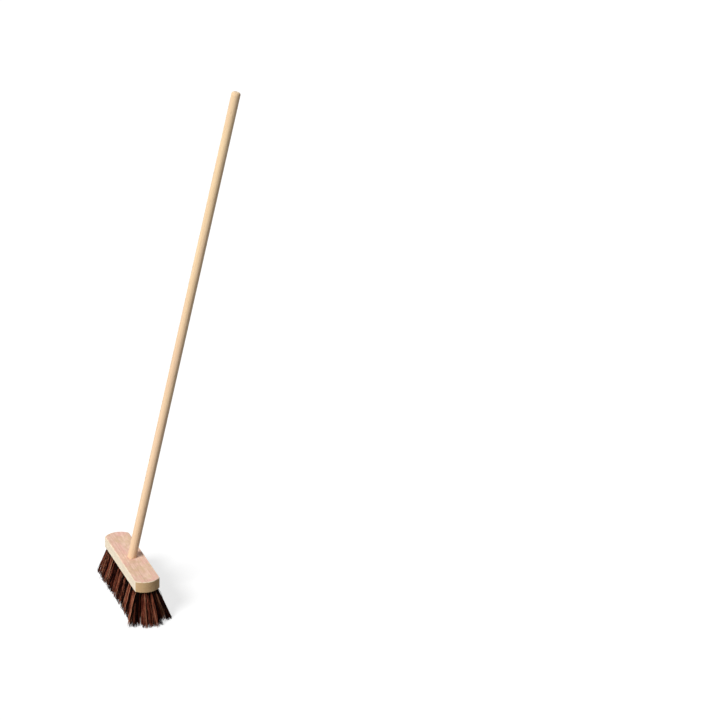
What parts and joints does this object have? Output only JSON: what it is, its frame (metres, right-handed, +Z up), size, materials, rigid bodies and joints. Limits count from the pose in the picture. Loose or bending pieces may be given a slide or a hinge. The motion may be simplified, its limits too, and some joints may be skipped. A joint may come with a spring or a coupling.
{
  "type": "yard broom",
  "caption": "Long-handled yard broom: bow-ended wooden stock drilled with splayed tufts of stiff brown fibre, and a plain round wooden handle raked into a socket in its top.",
  "frame": {"origin": "on the floor, at the middle of the plane that the bristle tips are trimmed to, under the middle of the stock", "axes": "+X along the stock, +Y across it to the side that the handle leans to, +Z up from the tips to the stock"},
  "size_m": [0.3722, 0.3697, 1.4977],
  "materials": {
    "stock_wood": "bare sawn and sanded hardwood",
    "handle_wood": "smooth turned softwood",
    "bristle_fibre": "stiff natural fibre, dull with a waxy sheen",
    "anchor_steel": "bright drawn strip"
  },
  "bodies": {
    "head": {"stock": "stock_wood", "back_inner_anchors": "anchor_steel", "back_outer_anchors": "anchor_steel", "front_inner_anchors": "anchor_steel", "front_outer_anchors": "anchor_steel", "inner_tuft_pair_01": "bristle_fibre", "inner_tuft_pair_02": "bristle_fibre", "inner_tuft_pair_03": "bristle_fibre", "inner_tuft_pair_04": "bristle_fibre", "inner_tuft_pair_05": "bristle_fibre", "inner_tuft_pair_06": "bristle_fibre", "inner_tuft_pair_07": "bristle_fibre", "inner_tuft_pair_08": "bristle_fibre", "inner_tuft_pair_09": "bristle_fibre", "inner_tuft_pair_10": "bristle_fibre", "inner_tuft_pair_11": "bristle_fibre", "inner_tuft_pair_12": "bristle_fibre", "inner_tuft_pair_13": "bristle_fibre", "inner_tuft_pair_14": "bristle_fibre", "inner_tuft_pair_15": "bristle_fibre", "inner_tuft_pair_16": "bristle_fibre", "outer_tuft_pair_01": "bristle_fibre", "outer_tuft_pair_02": "bristle_fibre", "outer_tuft_pair_03": "bristle_fibre", "outer_tuft_pair_04": "bristle_fibre", "outer_tuft_pair_05": "bristle_fibre", "outer_tuft_pair_06": "bristle_fibre", "outer_tuft_pair_07": "bristle_fibre", "outer_tuft_pair_08": "bristle_fibre", "outer_tuft_pair_09": "bristle_fibre", "outer_tuft_pair_10": "bristle_fibre", "outer_tuft_pair_11": "bristle_fibre", "outer_tuft_pair_12": "bristle_fibre", "outer_tuft_pair_13": "bristle_fibre", "outer_tuft_pair_14": "bristle_fibre", "outer_tuft_pair_15": "bristle_fibre"},
    "stick": {"handle": "handle_wood"}
  },
  "joints": [
    {"name": "handle_pull_out", "type": "slide", "parent": "head", "child": "stick", "axis": [0, 0.2122, 0.9772], "range_m": [0, 0.06]}
  ]
}
